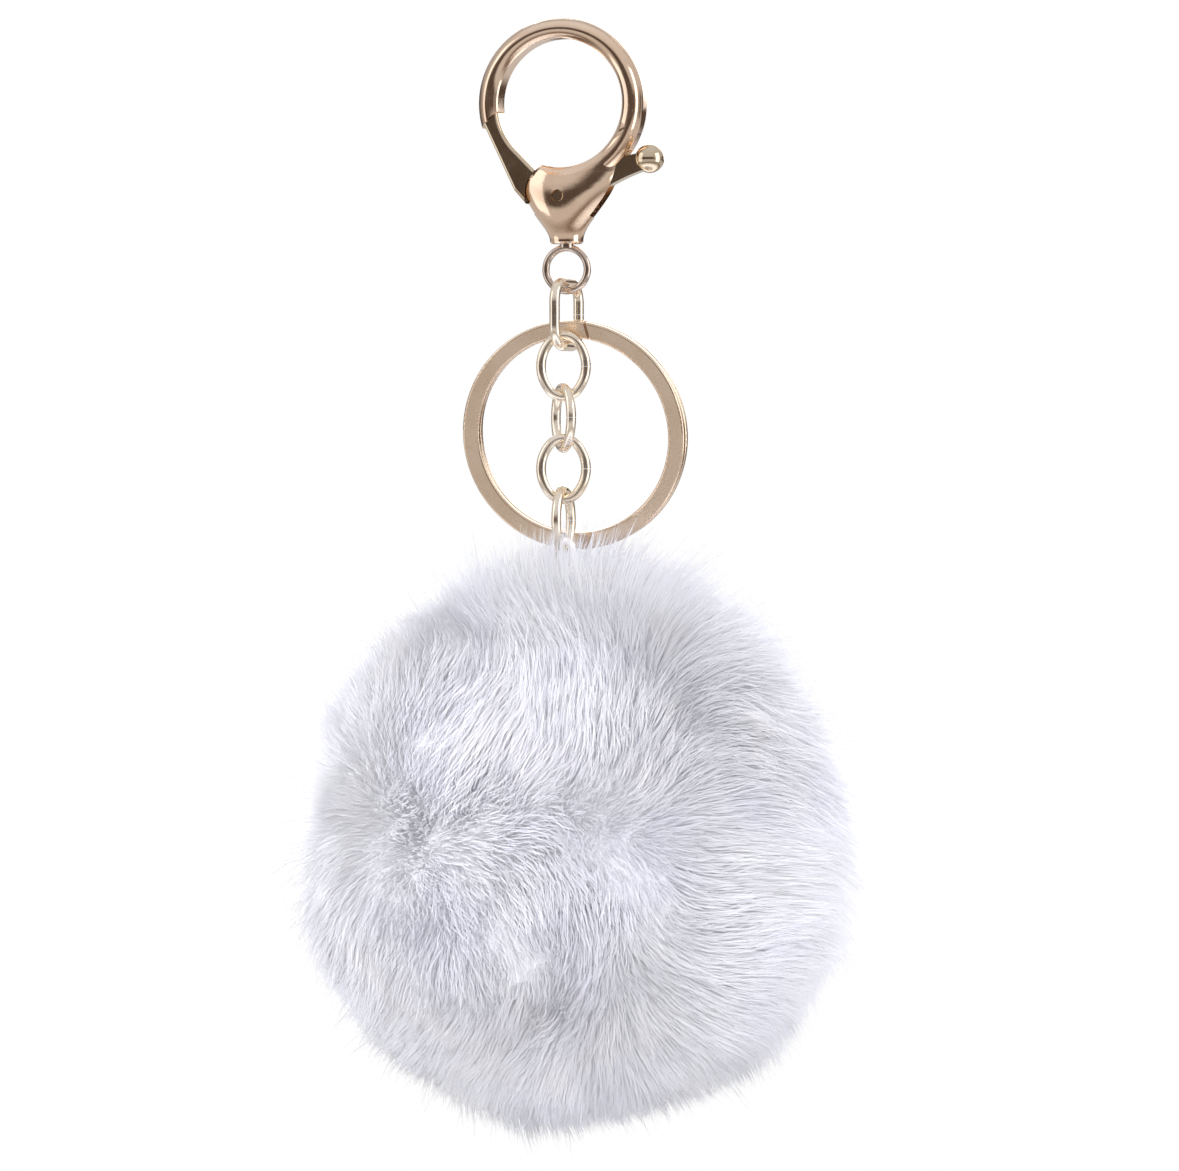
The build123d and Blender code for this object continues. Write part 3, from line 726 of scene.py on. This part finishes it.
def make_cord(material):
    """The elastic loop over the last link, closed by an overhand knot with two short tails."""
    middle = (cord_low + cord_high) / 2
    knot = np.array((middle.x, middle.y, cord_low.z + KNOT_R))
    bend_z = cord_high.z - CORD_R - CORD_BEND_R - knot[2]
    leg_z = np.linspace(LEG_START, bend_z, 24, endpoint=False)
    over = np.linspace(pi, 0, 40)
    turn = np.linspace(pi + KNOT_OPEN, 3 * pi - KNOT_OPEN, 150)
    across = np.concatenate((
        np.full(len(leg_z), -CORD_BEND_R),
        CORD_BEND_R * np.cos(over),
        np.full(len(leg_z), CORD_BEND_R),
        KNOT_SCALE * (np.sin(turn) + 2 * np.sin(2 * turn)),
    ))
    up = np.concatenate((
        leg_z,
        bend_z + CORD_BEND_R * np.sin(over),
        leg_z[::-1],
        KNOT_SCALE * (2 * np.cos(2 * turn) - np.cos(turn)),
    ))
    deep = np.zeros_like(across)
    deep[-len(turn):] = KNOT_DEPTH * KNOT_SCALE * np.sin(3 * turn)
    loop = np.stack((across, deep, up), 1)
    low = up < bend_z - 1 * MM
    for _ in range(EASE_STEPS):
        eased = (np.roll(loop, 1, 0) + 2 * loop + np.roll(loop, -1, 0)) / 4
        loop[low] = eased[low]
    paths = [(loop, CORD_TUBE_R, True)]
    t = np.linspace(0, 1, 16)
    for hand in (-1, 1):
        tail = np.stack((hand * (0.2 + 0.8 * t**1.5), 0.35 * hand * t, -0.3 - 1.7 * t), 1) * MM
        paths.append((tail, CORD_TUBE_R * np.where(t > 0.97, 0.75, 1.0), False))
    c, s = cos(CORD_TURN), sin(CORD_TURN)
    turned = np.array(((c, s, 0), (-s, c, 0), (0, 0, 1)))
    tubes = [tube(path @ turned + knot, radii, 16, closed) for path, radii, closed in paths]
    return mesh_object("elastic_cord", *joined(tubes), material)


# ---------------------------------------------------------------- the pieces
def assign(piece, body, replaced=None):
    """Rides a piece on a body, and lets it stand for a CAD node."""
    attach(piece, body)
    if replaced:
        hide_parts(replaced)


finish_metal_nodes()
assign(make_spring(METALS["spring_steel"]), "clasp", "gate_spring")
underwool = fibre_mat_material("pile_underwool", (0.80, 0.80, 0.84), (0.88, 0.88, 0.91), 1.2 * MM, 0.4 * MM)
filling = fibre_mat_material("fibre_filling", (0.84, 0.84, 0.85), (0.95, 0.95, 0.95), 0.9 * MM, 0.3 * MM)
cotton = fibre_mat_material("cotton_thread", (0.78, 0.78, 0.78), (0.92, 0.92, 0.91), 0.3 * MM, 0.03 * MM)
for panel in make_pile(pile_material()):
    assign(panel, "pompom")
assign(make_underlayer(underwool), "pompom", "fur_ball")
assign(make_backing(knit_material()), "pompom")
assign(make_stuffing(filling), "pompom", "stuffing")
assign(make_thread(cotton), "pompom", "gathering_thread")
assign(make_cord(cord_material()), "pompom", "cord_loop")

# ---------------------------------------------------------------- studio
FLOOR_Z = cad_low.z - 18 * MM
FLOOR_R = 0.2
FLOOR_SPOKES, FLOOR_RIMS = 64, 12
VIEW_TURN = radians(16)
PICTURE_RIGHT = 3.45 * MM  # the picture's centre, right of and below the hook's centre
PICTURE_DOWN = 62.7 * MM
PICTURE_WIDTH = 153.3 * MM
CAMERA_AWAY = 1.4
DAYLIGHT = 1.8
DAYLIGHT_COLOUR = (0.97, 0.97, 1.0)
MIRRORED_STRENGTH = 0.66
MIRRORED_STOPS = (  # what the metal mirrors, from straight down at 0 to straight up at 1
    (0.0, (0.40, 0.32, 0.27)),
    (0.22, (0.32, 0.24, 0.19)),
    (0.30, (0.92, 0.88, 0.86)),
    (0.40, (0.92, 0.88, 0.86)),
    (0.45, (0.12, 0.085, 0.065)),
    (0.55, (0.14, 0.10, 0.08)),
    (0.615, (0.92, 0.88, 0.86)),
    (1.0, (1.15, 1.15, 1.18)),
)
WALL_COLOUR = (0.80, 0.76, 0.73, 1)
WALL_FROM, WALL_TO = 0.35, 0.85  # squares of a direction's X between which the side walls fade in
WALL_SHARE = 0.75


def make_floor():
    """A round pale floor that fades out at its rim."""
    centre = (0, 0, FLOOR_Z)
    s = Shader("studio_floor")
    s.set(
        Base_Color=s.ramp(s.noise(60 * MM, 2), (0.3, (0.9, 0.9, 0.9)), (0.7, (0.92, 0.92, 0.92))),
        Roughness=0.9,
        Alpha=s.remap(s.distance(centre), FLOOR_R, FLOOR_R * 0.5),
    )
    angle = np.arange(FLOOR_SPOKES) * 2 * pi / FLOOR_SPOKES
    points = [np.array([centre])]
    for r in np.linspace(0, FLOOR_R, FLOOR_RIMS + 1)[1:]:
        points.append(np.stack((r * np.cos(angle), r * np.sin(angle), np.full(FLOOR_SPOKES, FLOOR_Z)), 1))
    faces = []
    for k in range(FLOOR_SPOKES):
        ahead = (k + 1) % FLOOR_SPOKES
        faces.append((0, 1 + k, 1 + ahead))
        for r in range(FLOOR_RIMS - 1):
            a = 1 + r * FLOOR_SPOKES
            b = a + FLOOR_SPOKES
            faces += [(a + k, b + k, b + ahead), (a + k, b + ahead, a + ahead)]
    mesh_object("studio_floor", np.concatenate(points), faces, s.material)


def make_world():
    """White to the camera, a studio with a dim brown horizon to the metal, even daylight to the rest."""
    world = bpy.data.worlds.new("studio")
    bpy.context.scene.world = world
    world.use_nodes = True
    tree = world.node_tree
    tree.nodes.clear()

    def background(colour, strength):
        made = tree.nodes.new("ShaderNodeBackground")
        made.inputs["Strength"].default_value = strength
        if isinstance(colour, bpy.types.NodeSocket):
            tree.links.new(colour, made.inputs["Color"])
        else:
            made.inputs["Color"].default_value = (*colour, 1)
        return made.outputs[0]

    def chosen(ray, others, own):
        """One background for a kind of ray, and another for the others."""
        made = tree.nodes.new("ShaderNodeMixShader")
        tree.links.new(tree.nodes.new("ShaderNodeLightPath").outputs[ray], made.inputs[0])
        tree.links.new(others, made.inputs[1])
        tree.links.new(own, made.inputs[2])
        return made.outputs[0]

    split = tree.nodes.new("ShaderNodeSeparateXYZ")
    tree.links.new(tree.nodes.new("ShaderNodeTexCoord").outputs["Generated"], split.inputs[0])
    height = tree.nodes.new("ShaderNodeMapRange")
    height.inputs["From Min"].default_value = -1
    tree.links.new(split.outputs["Z"], height.inputs["Value"])
    ramp = tree.nodes.new("ShaderNodeValToRGB")
    tree.links.new(height.outputs["Result"], ramp.inputs["Fac"])
    set_stops(ramp, MIRRORED_STOPS)
    square = tree.nodes.new("ShaderNodeMath")
    square.operation = "POWER"
    tree.links.new(split.outputs["X"], square.inputs[0])
    square.inputs[1].default_value = 2
    sideways = tree.nodes.new("ShaderNodeMapRange")
    sideways.inputs["From Min"].default_value = WALL_FROM
    sideways.inputs["From Max"].default_value = WALL_TO
    sideways.inputs["To Max"].default_value = WALL_SHARE
    tree.links.new(square.outputs["Value"], sideways.inputs["Value"])
    walls = tree.nodes.new("ShaderNodeMix")
    walls.data_type = "RGBA"
    tree.links.new(sideways.outputs["Result"], walls.inputs["Factor"])
    tree.links.new(ramp.outputs["Color"], walls.inputs["A"])
    walls.inputs["B"].default_value = WALL_COLOUR
    mirrored = background(walls.outputs["Result"], MIRRORED_STRENGTH)
    lit = chosen("Is Glossy Ray", background(DAYLIGHT_COLOUR, DAYLIGHT), mirrored)
    seen = chosen("Is Camera Ray", lit, background((1, 1, 1), 1))
    tree.links.new(seen, tree.nodes.new("ShaderNodeOutputWorld").inputs["Surface"])


def softbox(name, turn_deg, height, away, size, watts, mirrored=True):
    """A large lamp, aimed at the object's middle.

    A mirrored lamp shows in reflections and lights nothing diffuse. Any other lamp does the opposite.
    """
    lamp = bpy.data.lights.new(name, "AREA")
    lamp.shape = "RECTANGLE"
    lamp.size, lamp.size_y = size
    lamp.energy = watts
    made = bpy.data.objects.new(name, lamp)
    turn = radians(turn_deg)
    middle = (cad_low + cad_high) / 2
    made.location = middle + Vector((away * sin(turn), -away * cos(turn), height))
    made.rotation_mode = "QUATERNION"
    made.rotation_quaternion = (middle - made.location).to_track_quat("-Z", "Y")
    made.visible_glossy = mirrored
    made.visible_diffuse = not mirrored
    bpy.context.scene.collection.objects.link(made)


def make_camera():
    """A long lens at the picture's viewing angle."""
    right = Vector((cos(VIEW_TURN), sin(VIEW_TURN), 0))
    back = Vector((sin(VIEW_TURN), -cos(VIEW_TURN), 0))
    aim = HOOK_CENTRE + right * PICTURE_RIGHT - Vector((0, 0, PICTURE_DOWN))
    lens = bpy.data.cameras.new("camera")
    lens.lens = lens.sensor_width * CAMERA_AWAY / PICTURE_WIDTH
    made = bpy.data.objects.new("camera", lens)
    made.location = aim + back * CAMERA_AWAY
    made.rotation_mode = "QUATERNION"
    made.rotation_quaternion = (-back).to_track_quat("-Z", "Y")
    bpy.context.scene.collection.objects.link(made)
    bpy.context.scene.camera = made


make_floor()
make_world()
softbox("softbox_left", turn_deg=-62, height=0.12, away=0.55, size=(0.35, 0.6), watts=0.52)
softbox("softbox_right", turn_deg=84, height=0.10, away=0.55, size=(0.35, 0.6), watts=1.1)
softbox("softbox_back", turn_deg=185, height=0.25, away=0.6, size=(0.5, 0.4), watts=1.2)
softbox("key_front", turn_deg=8, height=-0.22, away=0.7, size=(0.7, 0.7), watts=2.0, mirrored=False)
make_camera()
bpy.context.scene.view_settings.view_transform = "Standard"
